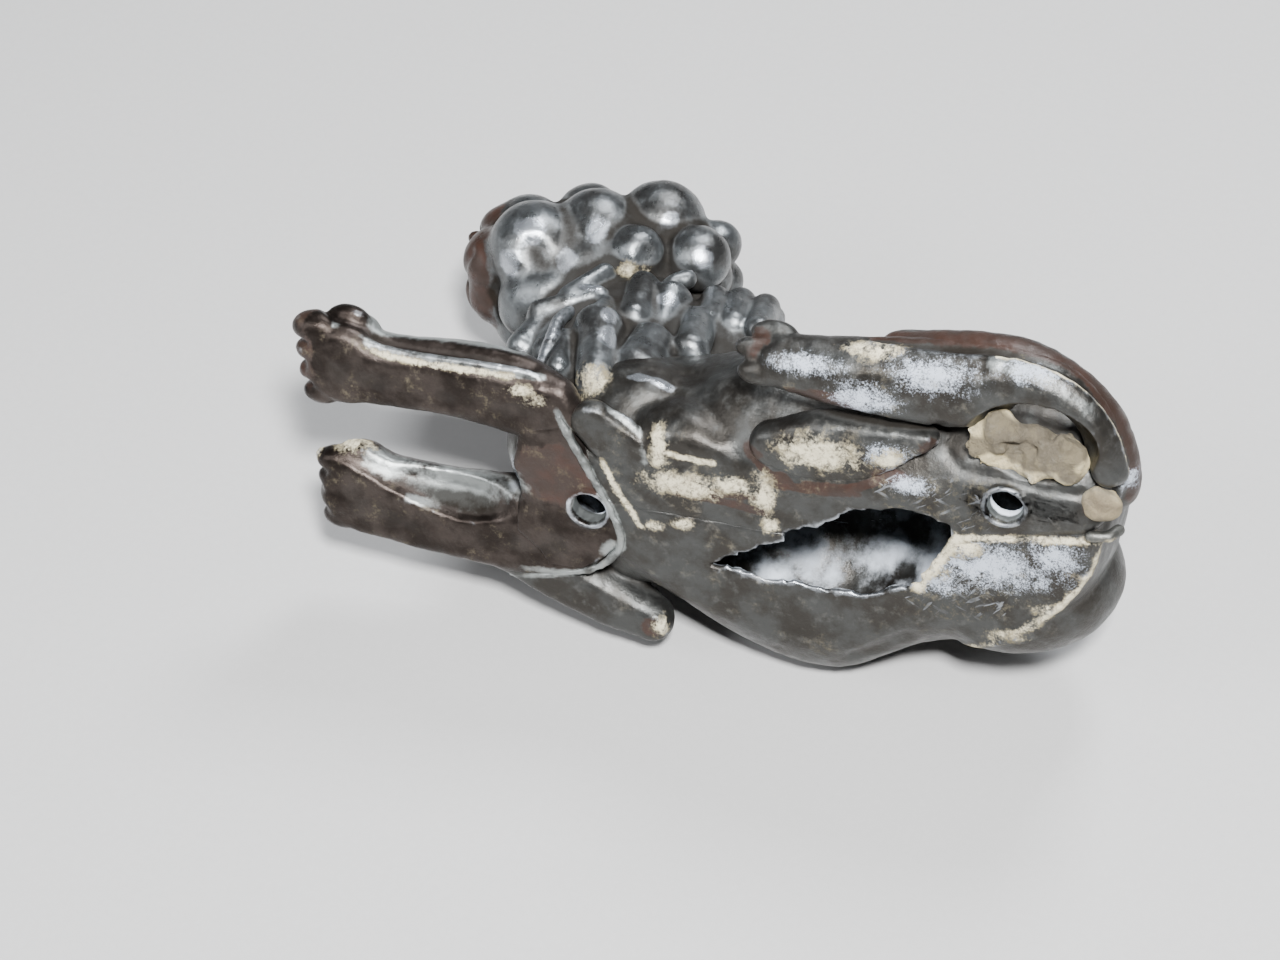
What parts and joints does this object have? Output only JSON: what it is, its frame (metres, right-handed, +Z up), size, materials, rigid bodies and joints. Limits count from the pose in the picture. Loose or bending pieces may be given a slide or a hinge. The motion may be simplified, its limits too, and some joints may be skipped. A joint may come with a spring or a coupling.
{
  "type": "recumbent lion figure",
  "caption": "Hollow cast recumbent animal figure with a curly mane, worn and detached from its base, with two screw holes and a corroded opening in its flat underside.",
  "frame": {"origin": "centre of the bounding box on the flat underside", "axes": "+Z up from the underside, -Y is the way the animal faces, +X its left side"},
  "size_m": [0.0404, 0.0794, 0.0429],
  "materials": {
    "foreleg_metal": "red-brown lacquer patina, glossy, worn to dull metal on the edges",
    "body_metal": "dark grey-brown worn white metal with white oxide bloom and file scratches",
    "mane_metal": "dark silvery metal, polished on the high spots",
    "solder": "dull grey solder, slightly lumpy",
    "plaster": "matte cream plaster, crumbly"
  },
  "bodies": {
    "root": {"left_foreleg": "foreleg_metal", "right_foreleg": "foreleg_metal", "chest_plate": "foreleg_metal", "rear_plate": "body_metal", "body_shell_left": "body_metal", "body_shell_right": "body_metal", "left_hind_leg": "body_metal", "right_hind_foot": "body_metal", "tail": "body_metal", "mane": "mane_metal", "head": "mane_metal", "front_seam_solder": "solder", "rump_seam_solder": "solder", "plaster_residue": "plaster"}
  },
  "joints": []
}
